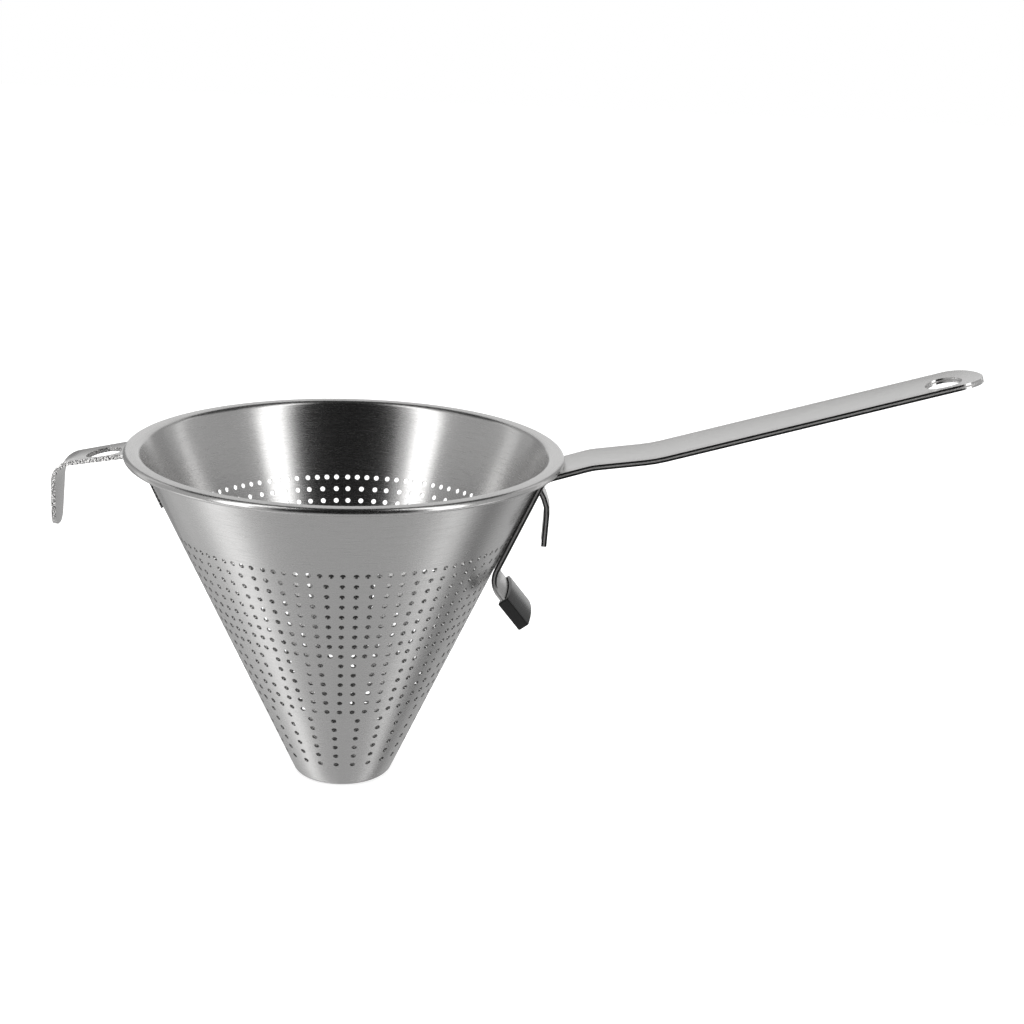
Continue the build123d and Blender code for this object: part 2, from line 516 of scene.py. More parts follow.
    def even_shading(self, made: bpy.types.Object, low: float, high: float) -> None:
        """Gives the faces of the cone the cone's own normals, so that no triangle of it shows.

        Args:
            made: The bowl.
            low: Height of the punched band's lower edge.
            high: Height of its upper edge.
        """
        mesh = made.data
        smooth(made, 35.0, weighted=False)
        normals = [Vector(corner.vector) for corner in mesh.corner_normals]
        across = math.cos(self.half_angle)
        down = -math.sin(self.half_angle)
        for face in mesh.polygons:
            centre = face.center / MM
            if not low - 1 < centre.z < high + 1.5:
                continue
            reach = math.hypot(centre.x, centre.y)
            cone = Vector((centre.x / reach * across, centre.y / reach * across, down))
            match = face.normal.dot(cone)
            if abs(match) < 0.9:
                continue
            for loop in face.loop_indices:
                place = mesh.vertices[mesh.loops[loop].vertex_index].co
                reach = math.hypot(place.x, place.y)
                own = Vector((place.x / reach * across, place.y / reach * across, down))
                normals[loop] = own if match > 0 else -own
        mesh.normals_split_custom_set([tuple(normal) for normal in normals])


@dataclass
class Strap:
    """A stamped blank that is bent along a path, hollow on the side that lies on the bowl."""

    name: str
    path: SheetPath
    width: float
    thickness: float
    hollow_radius: float
    edge_round: float = 0.35
    columns: int = 16
    row_gap: float = 4.0
    hole_room: float = 2.4
    hole_steps: int = 6
    near: float = 0.6

    def half_width(self, distance: float) -> float:
        """Half of the blank's width at a distance along it."""
        return self.width / 2

    def holes(self) -> list[tuple[float, float]]:
        """Round holes on the middle line, each as its distance along the blank and its radius."""
        return []

    def wanted_rows(self) -> list[float]:
        """Distances at which the blank needs a row of its own."""
        return []

    def hole_rows(self) -> list[float]:
        """Places rows across the squares that the holes are opened in.

        Returns:
            Distances of the rows.
        """
        found = []
        for distance, radius in self.holes():
            room = radius + self.hole_room
            steps = range(-self.hole_steps, self.hole_steps + 1)
            found += [distance + room * step / self.hole_steps for step in steps]
        return found

    def column_shares(self) -> list[float]:
        """Places of the columns across the blank, as shares of its half width."""
        return [2 * column / self.columns - 1 for column in range(self.columns + 1)]

    def is_cut(self, distance: float, across: float) -> bool:
        """Whether a face of the blank is cut away."""
        return False

    def path_for(self, distance: float, across: float) -> SheetPath:
        """The path that a point of the blank follows when it is bent."""
        return self.path

    def blank(self) -> bmesh.types.BMesh:
        """Makes the flat blank with its outline, holes and cuts.

        Returns:
            A bmesh of the blank, of one layer of faces.
        """
        marks = with_marks(self.path.marks(self.row_gap), self.wanted_rows(), self.near)
        marks = [mark for mark in marks if -1e-6 <= mark <= self.path.length + 1e-6]
        shares = self.column_shares()
        bm = bmesh.new()
        bmesh.ops.create_grid(bm, x_segments=len(marks) - 1, y_segments=len(shares) - 1, size=1.0)
        for vert in bm.verts:
            row = round((vert.co.x + 1) / 2 * (len(marks) - 1))
            column = round((vert.co.y + 1) / 2 * (len(shares) - 1))
            mark = marks[row]
            vert.co = Vector((mark, shares[column] * self.half_width(mark), 0))
        cut = []
        for face in bm.faces:
            centre = face.calc_center_median()
            if self.is_cut(centre.x, centre.y):
                cut.append(face)
        bmesh.ops.delete(bm, geom=cut, context="FACES")
        for distance, radius in self.holes():
            self.punch(bm, distance, radius)
        return bm

    def punch(self, bm: bmesh.types.BMesh, distance: float, radius: float) -> None:
        """Opens a round hole: a square of faces goes, and its border is drawn in to the circle.

        Args:
            bm: The flat blank.
            distance: Distance of the hole's centre along the blank.
            radius: Radius of the hole.
        """
        room = radius + self.hole_room
        middle = Vector((distance, 0, 0))
        gone = set()
        for face in bm.faces:
            away = face.calc_center_median() - middle
            if abs(away.x) < room and abs(away.y) < room:
                gone.add(face)
        border = [edge for edge in bm.edges if sum(face in gone for face in edge.link_faces) == 1]
        bmesh.ops.delete(bm, geom=list(gone), context="FACES")
        for share in (0.5, 1.0):
            drawn = bmesh.ops.extrude_edge_only(bm, edges=border)["geom"]
            for vert in new_verts(drawn):
                away = vert.co - middle
                vert.co = middle + away.lerp(away.normalized() * radius, share)
            border = [part for part in drawn if isinstance(part, bmesh.types.BMEdge)]

    def bend(self, vert: bmesh.types.BMVert) -> None:
        """Moves a vertex of the blank to its place on the bent strap.

        Args:
            vert: The vertex, with its depth in the sheet as its third coordinate.
        """
        distance, across, depth = vert.co
        point, direction = self.path_for(distance, across).at(distance)
        normal = Vector((direction.y, -direction.x))
        turn = across / self.hollow_radius
        reach = self.hollow_radius + depth
        rise = self.hollow_radius - reach * math.cos(turn)
        place = point + normal * rise
        vert.co = Vector((place.x, reach * math.sin(turn), place.y))

    def build(self) -> bpy.types.Object:
        """Builds the strap from its blank, which gets its thickness and is then bent.

        Returns:
            The strap.
        """
        bm = self.blank()
        bmesh.ops.translate(bm, vec=(0, 0, self.thickness), verts=second_side(bm))
        bmesh.ops.recalc_face_normals(bm, faces=bm.faces)
        sharp = [edge for edge in bm.edges if edge.calc_face_angle(0.0) > SHARP_TURN]
        round_edges(bm, sharp, self.edge_round, 3)
        depth = bm.verts.layers.float.new(DEPTH)
        for vert in bm.verts:
            vert[depth] = vert.co.z / self.thickness
            self.bend(vert)
        bmesh.ops.recalc_face_normals(bm, faces=bm.faces)
        made = to_object(bm, self.name)
        smooth(made)
        return made


@dataclass
class StrapSizes:
    """Sizes that the handle and the hook take from the bowl."""

    bowl: Bowl
    hollow_radius: float = 80.0
    weld_gap: float = 0.4
    rim_clearance: float = 0.3

    @property
    def under_rim(self) -> float:
        """Height of the space left for a strap under the rolled rim."""
        return self.bowl.height - 2 * self.bowl.roll_radius - self.rim_clearance

    @property
    def seat_reach(self) -> float:
        """Distance from the axis, at the origin's height, of a strap that lies on the bowl."""
        return self.bowl.outer_radius(0) + self.weld_gap / math.cos(self.bowl.half_angle)

    def hollow(self, width: float) -> float:
        """Depth of the hollow across a strap of a width."""
        return self.hollow_radius - math.sqrt(self.hollow_radius**2 - (width / 2) ** 2)

    def seat(self, height: float) -> Vector:
        """Point of a strap that lies on the bowl, at a height."""
        return Vector((self.seat_reach + self.bowl.slope * height, height))


def rise(angle: float) -> Vector:
    """Step of one millimetre outwards along a line at an angle in degrees."""
    return Vector((1, math.tan(math.radians(angle))))


def crossing(first: Vector, first_angle: float, second: Vector, second_angle: float) -> Vector:
    """Finds where two lines cross.

    Args:
        first: A point of the first line.
        first_angle: Angle of the first line, in degrees.
        second: A point of the second line.
        second_angle: Angle of the second line, in degrees.

    Returns:
        The crossing.
    """
    along, across = unit(first_angle), unit(second_angle)
    gap = second - first
    turn = along.x * across.y - along.y * across.x
    return first + along * ((gap.x * across.y - gap.y * across.x) / turn)


@dataclass
class Handle(Strap):
    """The strap handle, from hanging end to pot rest, with the tongue cut from its middle."""

    end_radius: float = 14.6
    end_flat: float = 0.9
    hole_radius: float = 8.25
    hole_margin: float = 17.4
    root_angle: float = 17.7
    root_bend: float = 9.0
    step_start: float = 12.4
    step_angle: float = 8.5
    step_length: float = 28.0
    step_bend: float = 30.0
    grip_angle: float = 16.6
    grip_length: float = 145.1
    grip_bend: float = 70.0
    rest_depth: float = 58.1
    rest_angle: float = 39.5
    rest_length: float = 24.0
    rest_bend: float = 11.0
    tongue_depth: float = 14.7
    tongue_root_bend: float = 4.5
    tongue_lean: float = 29.7
    tongue_drop: float = 7.5
    tongue_knee_bend: float = 15.0
    tongue_draft: float = 2.6
    tongue_fall: float = 19.6
    tongue_width: float = 13.0
    slot: float = 1.2
    slot_start: float = 0.0
    slot_end: float = 0.0
    tongue: SheetPath | None = None

    @classmethod
    def from_bowl(cls, sizes: StrapSizes) -> "Handle":
        """Works out the handle's paths from the bowl.

        Args:
            sizes: What the straps take from the bowl.

        Returns:
            The handle, ready to build.
        """
        bowl = sizes.bowl
        side = 90 - math.degrees(bowl.half_angle)
        width = 30.0
        drop = sizes.hollow(width) / math.cos(math.radians(cls.root_angle))
        root = Vector((bowl.rim_radius, sizes.under_rim - drop))
        step = root + rise(cls.root_angle) * cls.step_start
        grip = step + rise(cls.step_angle) * cls.step_length
        tip = grip + rise(cls.grip_angle) * cls.grip_length
        root_corner = crossing(root, cls.root_angle, sizes.seat(0), side)
        rest_corner = sizes.seat(bowl.height - cls.rest_depth)
        rest_tip = rest_corner + unit(cls.rest_angle - 90) * cls.rest_length
        outer, bends = [tip, grip, step, root_corner], [cls.grip_bend, cls.step_bend, cls.root_bend]
        tongue_root = sizes.seat(bowl.height - cls.tongue_depth)
        lean = Vector((math.tan(math.radians(cls.tongue_lean)), -1))
        knee = tongue_root + lean * cls.tongue_drop
        draft = Vector((-math.tan(math.radians(cls.tongue_draft)), -1))
        tongue_tip = knee + draft * cls.tongue_fall
        tongue_bends = [*bends, cls.tongue_root_bend, cls.tongue_knee_bend]
        tongue = SheetPath([*outer, tongue_root, knee, tongue_tip], tongue_bends)
        return cls(
            name="strap_handle",
            path=SheetPath([*outer, rest_corner, rest_tip], [*bends, cls.rest_bend]),
            width=width,
            thickness=2.5,
            hollow_radius=sizes.hollow_radius,
            slot_start=sum(piece[5] for piece in tongue.pieces[:7]),
            slot_end=tongue.length,
            tongue=tongue,
        )

    def half_width(self, distance: float) -> float:
        """Narrows the blank's half width in an arc at the hanging end.

        Args:
            distance: Distance along the blank.

        Returns:
            Half of the width there.
        """
        inward = self.end_radius - distance
        if inward <= 0:
            return self.width / 2
        arc = math.sqrt(max(self.end_radius**2 - inward**2, 0.0))
        return max(arc * self.width / 2 / self.end_radius, self.end_flat)

    def holes(self) -> list[tuple[float, float]]:
        """The hanging hole."""
        return [(self.hole_margin, self.hole_radius)]

    def wanted_rows(self) -> list[float]:
        """Places rows round the end, the hole's square and the ends of the slots.

        Returns:
            Distances of the rows.
        """
        square = self.hole_rows()
        end = [self.end_radius * (1 - math.cos(math.radians(turn))) for turn in range(0, 90, 6)]
        end = [mark for mark in end if mark < square[0] - self.near]
        cuts = [self.slot_start, self.slot_end, self.slot_end + self.slot]
        return sorted(end + square + cuts)

    def column_shares(self) -> list[float]:
        """Places columns across the strap, with one on each side of both slots.

        Returns:
            Places of the columns, as shares of the half width.
        """
        inner = self.tongue_width / self.width
        outer = (self.tongue_width + 2 * self.slot) / self.width
        half = [inner / 3, inner * 2 / 3, inner, outer]
        half += [outer + (1 - outer) / 3, outer + (1 - outer) * 2 / 3, 1.0]
        return [-share for share in reversed(half)] + [0.0] + half

    def is_cut(self, distance: float, across: float) -> bool:
        """Finds the faces in the slots round the tongue.

        Args:
            distance: Distance of the face's middle along the blank.
            across: Place of the face's middle across the blank.

        Returns:
            Whether the face is cut away.
        """
        inner, outer = self.tongue_width / 2, self.tongue_width / 2 + self.slot
        last = self.slot_end + self.slot
        beside = inner < abs(across) < outer and self.slot_start < distance < last
        past = abs(across) < outer and self.slot_end < distance < last
        return beside or past

    def path_for(self, distance: float, across: float) -> SheetPath:
        """Chooses the path that a point of the blank follows.

        Args:
            distance: Distance of a point along the blank.
            across: Place of the point across the blank.

        Returns:
            The tongue's path from its root on, and the strap's path elsewhere.
        """
        on_tongue = abs(across) < self.tongue_width / 2 + self.slot / 2
        if on_tongue and self.slot_start < distance < self.slot_end + self.slot / 2:
            return self.tongue
        return self.path


@dataclass
class Hook(Strap):
    """The front hook: a tab on the bowl, an arm with a round hole and a leg that narrows."""

    slope_angle: float = 10.2
    arm_length: float = 33.0
    arm_bend: float = 11.0
    root_bend: float = 5.0
    tab_depth: float = 28.4
    leg_depth: float = 42.0
    lean_angle: float = 3.8
    hole_start: float = 11.3
    taper: float = 0.1242
    taper_start: float = 0.0
    tip_radius: float = 4.6
    tip_flat: float = 0.4
    hole_radius: float = 8.25
    hole_distance: float = 0.0

    @classmethod
    def from_bowl(cls, sizes: StrapSizes) -> "Hook":
        """Works out the hook's path from the bowl.

        Args:
            sizes: What the straps take from the bowl.

        Returns:
            The hook, ready to build. It is laid out along +X and turned to -X when it is bent.
        """
        bowl = sizes.bowl
        side = 90 - math.degrees(bowl.half_angle)
        width = 27.6
        reach = bowl.rim_radius - 2 * bowl.roll_radius
        drop = sizes.hollow(width) / math.cos(math.radians(cls.slope_angle))
        root = Vector((reach, sizes.under_rim - drop))
        fall = rise(-cls.slope_angle)
        corner = root + fall * (cls.arm_length + bowl.rim_radius - reach)
        tab_end = sizes.seat(bowl.height - cls.tab_depth)
        root_corner = crossing(root, -cls.slope_angle, tab_end, side)
        leg_drop = corner.y - bowl.height + cls.leg_depth
        leg = corner + Vector((math.tan(math.radians(cls.lean_angle)), -1)) * leg_drop
        path = SheetPath([leg, corner, root_corner, tab_end], [cls.arm_bend, cls.root_bend])
        hole = root + fall * (cls.hole_start + bowl.rim_radius - reach)
        start = path.pieces[2][1]
        begin = path.pieces[0][5] + path.pieces[1][5]
        return cls(
            name="strap_hook",
            path=path,
            width=width,
            thickness=2.1,
            hollow_radius=sizes.hollow_radius,
            edge_round=0.3,
            row_gap=2.5,
            hole_room=1.3,
            taper_start=begin + (root - start).length,
            hole_distance=begin + (hole - start).length,
        )

    def half_width(self, distance: float) -> float:
        """Narrows the blank's half width towards the leg's rounded tip.

        Args:
            distance: Distance along the blank.

        Returns:
            Half of the width there.
        """
        full = self.width / 2
        if distance < self.taper_start:
            full -= self.taper * (self.taper_start - distance)
        inward = self.tip_radius - distance
        if inward > 0:
            full -= self.tip_radius - math.sqrt(max(self.tip_radius**2 - inward**2, 0.0))
        return max(full, self.tip_flat)

    def holes(self) -> list[tuple[float, float]]:
        """The round hole in the arm."""
        return [(self.hole_distance, self.hole_radius)]

    def wanted_rows(self) -> list[float]:
        """Rows round the tip and the hole's square."""
        tip = [self.tip_radius * (1 - math.cos(math.radians(turn))) for turn in range(10, 100, 10)]
        return sorted(tip + self.hole_rows())

    def bend(self, vert: bmesh.types.BMVert) -> None:
        """Bends the strap and turns it half round the axis, to the front."""
        super().bend(vert)
        vert.co.x, vert.co.y = -vert.co.x, -vert.co.y


@dataclass
class Cap:
    """The rubber sleeve on the pot rest: a rounded block that follows the strap, with a pocket."""

    handle: Handle
    length: float = 16.2
    wall: float = 1.75
    side_wall: float = 1.0
    end_wall: float = 2.0
    clearance: float = 0.1
    corner: float = 0.75
    columns: int = 16

    def build(self) -> bpy.types.Object:
        """Builds the sleeve with its pocket, laid along the end of the rest.

        Returns:
            The sleeve.
        """
        end = self.handle.path.length + self.end_wall + self.clearance
        start = end - self.length
        width = self.handle.width / 2 + self.side_wall
        low, high = -self.wall, self.handle.thickness + self.wall
        bm = bmesh.new()
        bmesh.ops.create_grid(bm, x_segments=6, y_segments=self.columns, size=1.0)
        for vert in bm.verts:
            vert.co = Vector((start + (vert.co.x + 1) / 2 * self.length, vert.co.y * width, low))
        bmesh.ops.translate(bm, vec=(0, 0, high - low), verts=second_side(bm))
        bmesh.ops.recalc_face_normals(bm, faces=bm.faces)
        mouth = [face for face in bm.faces if face.normal.x < -0.9]
        lip = self.side_wall + self.corner * 0.35
        bmesh.ops.inset_region(bm, faces=mouth, thickness=lip, use_even_offset=True)
        pocket = bmesh.ops.extrude_face_region(bm, geom=mouth)
        depth = self.length - self.end_wall
        bmesh.ops.translate(bm, vec=(depth, 0, 0), verts=new_verts(pocket["geom"]))
        bmesh.ops.delete(bm, geom=[face for face in mouth if face.is_valid], context="FACES_ONLY")

        def outside(vert: bmesh.types.BMVert) -> bool:
            """Whether a vertex lies on the sleeve's outer faces."""
            beside = abs(vert.co.y) > width - 0.01
            return beside or vert.co.z < low + 0.01 or vert.co.z > high - 0.01

        edges = [
            edge
            for edge in bm.edges
            if all(outside(vert) for vert in edge.verts) and edge.calc_face_angle(0.0) > SHARP_TURN
        ]
        round_edges(bm, edges, self.corner * 0.9, 4)
        for vert in bm.verts:
            self.handle.bend(vert)
        bmesh.ops.recalc_face_normals(bm, faces=bm.faces)
        made = to_object(bm, "rest_sleeve")
        smooth(made, 50.0)
        return made


class NodeMaker:
    """Short hand for adding and linking shader nodes in one tree."""

    def __init__(self, tree: bpy.types.NodeTree) -> None:
        """Keeps the tree that the nodes go into."""
        self.tree = tree

    def add(self, kind: str, inputs: dict | None = None, **values: object) -> bpy.types.Node:
        """Adds a node.

        Args:
            kind: Blender's name for the node type.
            inputs: A number or a socket for each input that is set, by its name or place.
            values: Properties of the node.

        Returns:
            The new node.
        """
        node = self.tree.nodes.new(kind)
        for key, value in values.items():
            setattr(node, key, value)
        for key, value in (inputs or {}).items():
            self.feed(node.inputs[key], value)
        return node

    def feed(self, target: bpy.types.NodeSocket, value: object) -> None:
        """Sets an input.

        Args:
            target: The input.
            value: A number or colour for it, or a socket that is linked to it.
        """
        if isinstance(value, bpy.types.NodeSocket):
            self.tree.links.new(value, target)
        else:
            target.default_value = value

    def math(self, operation: str, *terms: object) -> bpy.types.NodeSocket:
        """Adds a math node whose terms are sockets or numbers, and gives its result."""
        return self.add("ShaderNodeMath", dict(enumerate(terms)), operation=operation).outputs[0]

    def blend(self, share: bpy.types.NodeSocket, low: object, high: object) -> bpy.types.NodeSocket:
        """Maps a share from 0 to 1 onto a range between two numbers or sockets."""
        ends = {"Value": share, "To Min": low, "To Max": high}
        return self.add("ShaderNodeMapRange", ends).outputs["Result"]


def node_maker(owner: bpy.types.Material | bpy.types.World) -> NodeMaker:
    """Empties the node tree of a material or a world.

    Args:
        owner: The material or the world.

    Returns:
        A maker for its nodes.
    """
    owner.use_nodes = True
    owner.node_tree.nodes.clear()
    return NodeMaker(owner.node_tree)


def new_group(name: str, inputs: dict[str, str], outputs: dict[str, str]) -> NodeMaker:
    """Makes an empty shader node group with named sockets.

    Args:
        name: Name of the group.
        inputs: Socket type for each input.
        outputs: Socket type for each output.

    Returns:
        A maker for the group's tree.
    """
    tree = bpy.data.node_groups.new(name, "ShaderNodeTree")
    for sockets, way in ((inputs, "INPUT"), (outputs, "OUTPUT")):
        for label, kind in sockets.items():
            tree.interface.new_socket(label, in_out=way, socket_type=f"NodeSocket{kind}")
    return NodeMaker(tree)


class Groups:
    """Shader node groups that the finishes share, each built once."""

    def __init__(self) -> None:
        """Builds the groups."""
        self.round_lines = self.make_round_lines()
        self.grain = self.make_grain()
        self.cut_edge = self.make_cut_edge()

    @staticmethod
    def make_round_lines() -> bpy.types.NodeTree:
        """Makes coordinates that are long round the axis and short up the side.

        Returns:
            The group, with a length and a fineness of the lines.
        """
        inputs = {"Position": "Vector", "Length": "Float", "Fineness": "Float"}
        maker = new_group("round_lines", inputs, {"Vector": "Vector"})
        source = maker.add("NodeGroupInput").outputs
        x, y, z = maker.add("ShaderNodeSeparateXYZ", {0: source["Position"]}).outputs
        squares = maker.math("ADD", maker.math("MULTIPLY", x, x), maker.math("MULTIPLY", y, y))
        radius = maker.math("SQRT", squares)
        safe = maker.math("MAXIMUM", radius, 0.0005)
        slant = maker.math("ADD", z, maker.math("MULTIPLY", radius, 0.45))
        lines = {2: maker.math("MULTIPLY", slant, source["Fineness"])}
        for index, place in enumerate((x, y)):
            share = maker.math("DIVIDE", place, safe)
            lines[index] = maker.math("MULTIPLY", share, source["Length"])
        joined = maker.add("ShaderNodeCombineXYZ", lines)
        maker.add("NodeGroupOutput", {"Vector": joined.outputs[0]})
        return maker.tree

    @staticmethod
    def make_grain() -> bpy.types.NodeTree:
        """Makes fine and coarse scratches on stretched coordinates.

        Returns:
            The group, with the height of the scratches and their tone.
        """
        inputs = {"Vector": "Vector", "Coarse": "Float"}
        maker = new_group("brushed_grain", inputs, {"Height": "Float", "Tone": "Float"})
        source = maker.add("NodeGroupInput").outputs
        look = {"Vector": source["Vector"], "Scale": 1.0, "Detail": 4.0, "Roughness": 0.7}
        fine = maker.add("ShaderNodeTexNoise", look).outputs["Fac"]
        stretch = {0: source["Vector"], "Scale": source["Coarse"]}
        scaled = maker.add("ShaderNodeVectorMath", stretch, operation="SCALE").outputs[0]
        look = {"Vector": scaled, "Scale": 1.0, "Detail": 2.0}
        broad = maker.add("ShaderNodeTexNoise", look).outputs["Fac"]
        shares = maker.math("MULTIPLY", fine, 0.7), maker.math("MULTIPLY", broad, 0.3)
        maker.add("NodeGroupOutput", {"Height": fine, "Tone": maker.math("ADD", *shares)})
        return maker.tree

    @staticmethod
    def make_cut_edge() -> bpy.types.NodeTree:
        """Makes the masks of a sheared edge.

        Returns:
            The group, with a mask of the whole edge and one of the dull break along its middle.
        """
        maker = new_group("cut_edge", {"Depth": "Float"}, {"Edge": "Float", "Break": "Float"})
        source = maker.add("NodeGroupInput").outputs
        away = maker.math("ABSOLUTE", maker.math("SUBTRACT", source["Depth"], 0.5))
        masks = {}
        for name, inner, outer in (("Edge", 0.45, 0.49), ("Break", 0.1, 0.2)):
            span = {"Value": away, "From Min": inner, "From Max": outer, "To Min": 1.0}
            span["To Max"] = 0.0
            mask = maker.add("ShaderNodeMapRange", span, interpolation_type="SMOOTHSTEP")
            masks[name] = mask.outputs[0]
        maker.add("NodeGroupOutput", masks)
        return maker.tree


@dataclass
class Work:
    """What a finish works with: the maker of a material's nodes, the groups, shader and place."""

    maker: NodeMaker
    groups: Groups
    shader: bpy.types.Node
    place: bpy.types.NodeSocket

    def group(self, tree: bpy.types.NodeTree, inputs: dict[str, object]) -> bpy.types.Node:
        """Places a shared group with its own values, and gives its node."""
        return self.maker.add("ShaderNodeGroup", inputs, node_tree=tree)

    def wear(self, **inputs: object) -> None:
        """Feeds inputs of the shader, named with underscores for spaces."""
        for name, value in inputs.items():
            self.maker.feed(self.shader.inputs[name.replace("_", " ")], value)


@dataclass(frozen=True)
class Finish:
    """A finish and the material that it makes."""

    name: str

    def material(self, groups: Groups) -> bpy.types.Material:
        """Builds the material.

        Args:
            groups: The shared node groups.

        Returns:
            The finished material.
        """
        made = bpy.data.materials.new(self.name)
        maker = node_maker(made)
        shader = maker.add("ShaderNodeBsdfPrincipled")
        maker.add("ShaderNodeOutputMaterial", {"Surface": shader.outputs[0]})
        place = maker.add("ShaderNodeTexCoord").outputs["Object"]
        self.paint(Work(maker, groups, shader, place))
        return made

    def paint(self, work: Work) -> None:
        """Sets the shader's inputs. Each kind of finish does it in its own way."""
        raise NotImplementedError


@dataclass(frozen=True)
class SteelFinish(Finish):
    """Satin stainless steel: its colour, its roughness and its fine lines."""

    colour: tuple[float, float, float]
    rough_low: float
    rough_high: float
    length: float
    fineness: float
    bump: float

    def paint(self, work: Work) -> None:
        """Sets the shader's inputs from the fine lines.

        Args:
            work: The material's nodes.
        """
        maker = work.maker
        grain = work.group(work.groups.grain, {"Vector": self.lines(work), "Coarse": 0.3})
        span = {"Value": grain.outputs["Tone"], "From Min": 0.3, "From Max": 0.7}
        tone = maker.add("ShaderNodeMapRange", span).outputs[0]
        dark, light = ((*[value * share for value in self.colour], 1) for share in (0.96, 1.04))
        mix = maker.add("ShaderNodeMix", {"Factor": tone, "A": dark, "B": light}, data_type="RGBA")
        work.wear(Metallic=1.0, Base_Color=mix.outputs["Result"])
        fine = {"Strength": self.bump, "Distance": 0.00005, "Height": grain.outputs["Height"]}
        normal = maker.add("ShaderNodeBump", fine).outputs[0]
        self.polish(work, maker.blend(tone, self.rough_high, self.rough_low), normal)

    def lines(self, work: Work) -> bpy.types.NodeSocket:
        """Gives the stretched coordinates of the fine lines."""
        stretch = {"Vector": work.place, "Scale": (self.length, self.fineness, self.fineness)}
        return work.maker.add("ShaderNodeMapping", stretch).outputs[0]

    def polish(self, work: Work, rough: bpy.types.NodeSocket, normal: bpy.types.NodeSocket) -> None:
        """Joins the roughness and the fine lines to the shader."""
        work.wear(Roughness=rough, Normal=normal)


@dataclass(frozen=True)
class TurnedFinish(SteelFinish):
    """Steel brushed round the bowl's axis, whose highlights run up the side."""

    anisotropic: float = 0.8
    turn: float = 0.25

    def lines(self, work: Work) -> bpy.types.NodeSocket:
        """Gives coordinates that are long round the axis."""
        values = {"Position": work.place, "Length": self.length, "Fineness": self.fineness}
        return work.group(work.groups.round_lines, values).outputs["Vector"]

    def polish(self, work: Work, rough: bpy.types.NodeSocket, normal: bpy.types.NodeSocket) -> None:
        """Stretches the highlights across the lines.

        Args:
            work: The material's nodes.
            rough: Roughness of the surface.
            normal: Normal of the surface with its fine lines.
        """
        super().polish(work, rough, normal)
        tangent = work.maker.add("ShaderNodeTangent", direction_type="RADIAL", axis="Z").outputs[0]
        work.wear(Anisotropic=self.anisotropic, Anisotropic_Rotation=self.turn, Tangent=tangent)


@dataclass(frozen=True)
class StampedFinish(SteelFinish):
    """Steel stamped from sheet, with a marked cut edge and a dull break along its middle."""

    edge_rough: float = 0.15
    break_rough: float = 0.6
    edge_bump: float = 0.0
    torn_scale: float = 900.0
    torn_depth: float = 0.0006

    def polish(self, work: Work, rough: bpy.types.NodeSocket, normal: bpy.types.NodeSocket) -> None:
        """Gives the cut edge its own roughness and its marks.

        Args:
            work: The material's nodes.
            rough: Roughness of the sheet's faces.
            normal: Normal of the surface with its fine lines.
        """
        maker = work.maker
        depth = maker.add("ShaderNodeAttribute", attribute_name=DEPTH).outputs["Fac"]
        cut = work.group(work.groups.cut_edge, {"Depth": depth}).outputs
        on_edge = maker.blend(cut["Edge"], rough, self.edge_rough)
        broken = maker.blend(cut["Break"], on_edge, self.break_rough)
        look = {"Vector": work.place, "Scale": self.torn_scale, "Detail": 2.0}
        marks = maker.add("ShaderNodeTexNoise", look).outputs["Fac"]
        strength = maker.math("MULTIPLY", cut["Edge"], self.edge_bump)
        torn = {"Distance": self.torn_depth, "Strength": strength}
        torn |= {"Height": marks, "Normal": normal}
        super().polish(work, broken, maker.add("ShaderNodeBump", torn).outputs[0])


@dataclass(frozen=True)
class RubberFinish(Finish):
    """Black moulded rubber, faintly mottled and dusty."""

    colour: tuple[float, float, float]
    dust: tuple[float, float, float]
    grain_scale: float = 900.0
    rough_low: float = 0.12
    rough_high: float = 0.24

    def paint(self, work: Work) -> None:
        """Sets the shader's inputs from the mottling.

        Args:
            work: The material's nodes.
        """
        maker = work.maker
        stretch = {"Vector": work.place, "Scale": (self.grain_scale,) * 3}
        spread = maker.add("ShaderNodeMapping", stretch).outputs[0]
        grain = work.group(work.groups.grain, {"Vector": spread, "Coarse": 0.2}).outputs
        colours = {"Factor": grain["Tone"], "A": (*self.colour, 1), "B": (*self.dust, 1)}
        mix = maker.add("ShaderNodeMix", colours, data_type="RGBA")
        bump = {"Strength": 0.25, "Distance": 0.0001, "Height": grain["Height"]}
        work.wear(
            Base_Color=mix.outputs["Result"],
            Roughness=maker.blend(grain["Tone"], self.rough_low, self.rough_high),
            Normal=maker.add("ShaderNodeBump", bump).outputs[0],
        )


STEEL_COLOUR = (0.62, 0.615, 0.61)
BOWL_STEEL = TurnedFinish(
    "turned_steel",
    STEEL_COLOUR,
    rough_low=0.2,
    rough_high=0.3,
    length=14.0,
    fineness=5200.0,
    bump=0.12,
)
STRAP_STEEL = StampedFinish(
    "satin_strap_steel",
    STEEL_COLOUR,
    rough_low=0.2,
    rough_high=0.28,
    length=90.0,
    fineness=2600.0,
    bump=0.1,
)
HOOK_STEEL = StampedFinish(
    "satin_hook_steel",
    STEEL_COLOUR,
    rough_low=0.2,
    rough_high=0.28,
    length=900.0,
    fineness=2600.0,
    bump=0.1,
    edge_rough=0.1,
    break_rough=0.14,
    edge_bump=1.0,
)
CAP_RUBBER = RubberFinish("black_rubber", colour=(0.004,) * 3, dust=(0.011,) * 3)


def dress(piece: bpy.types.Object, material: bpy.types.Material, node: str) -> None:
    """Gives a piece its material, hangs it on the root body and hides the solid that it stands for.

    Args:
        piece: The finished piece.
        material: Its material.
        node: The solid that it replaces.
    """
    piece.data.materials.clear()
    piece.data.materials.append(material)
    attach(piece, "root")
    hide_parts(node)
    LOG.info("%s: %d faces, replaces %s", piece.name, len(piece.data.polygons), node)


